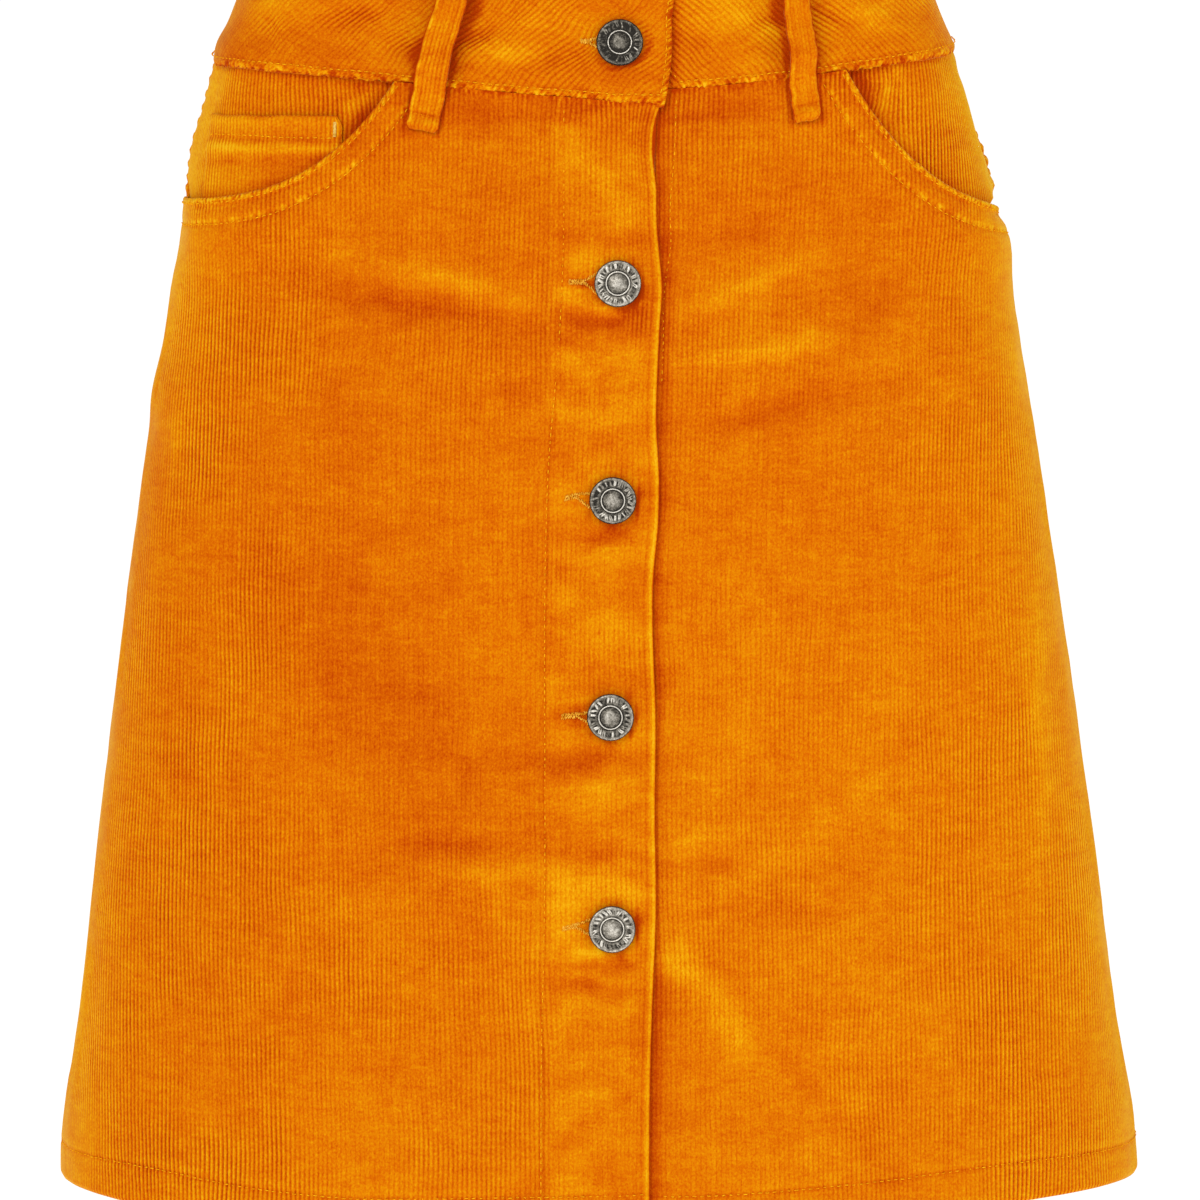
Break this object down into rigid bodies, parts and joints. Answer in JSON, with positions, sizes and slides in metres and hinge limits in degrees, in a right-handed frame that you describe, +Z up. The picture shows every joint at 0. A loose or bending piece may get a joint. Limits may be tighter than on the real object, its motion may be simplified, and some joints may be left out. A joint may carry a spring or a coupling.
{
  "type": "corduroy A-line skirt, filled out as when worn",
  "caption": "Short corduroy A-line skirt with a buttoned front, a waistband with belt loops and scoop pockets, in its worn hollow form.",
  "frame": {"origin": "the middle of the waist, level with the waistband's button, where the wearer's waist holds the skirt", "axes": "+Z up, -Y towards the front that buttons, +X towards the wearer's left"},
  "size_m": [0.4117, 0.2256, 0.4878],
  "materials": {
    "corduroy": "fine-wale cotton corduroy, amber orange, soft nap",
    "button_metal": "aged gunmetal, mottled"
  },
  "bodies": {
    "root": {"front_panel_right": "corduroy", "front_panel_left": "corduroy", "back_panel_right": "corduroy", "back_panel_left": "corduroy", "waistband_right": "corduroy", "waistband_left": "corduroy", "pocket_facing_right": "corduroy", "pocket_facing_left": "corduroy", "coin_pocket": "corduroy", "belt_loop_front_right": "corduroy", "belt_loop_front_left": "corduroy", "belt_loop_back_right": "corduroy", "belt_loop_back_left": "corduroy", "belt_loop_back_centre": "corduroy", "button_1": "button_metal", "button_2": "button_metal", "button_3": "button_metal", "button_4": "button_metal", "button_5": "button_metal"}
  },
  "joints": []
}
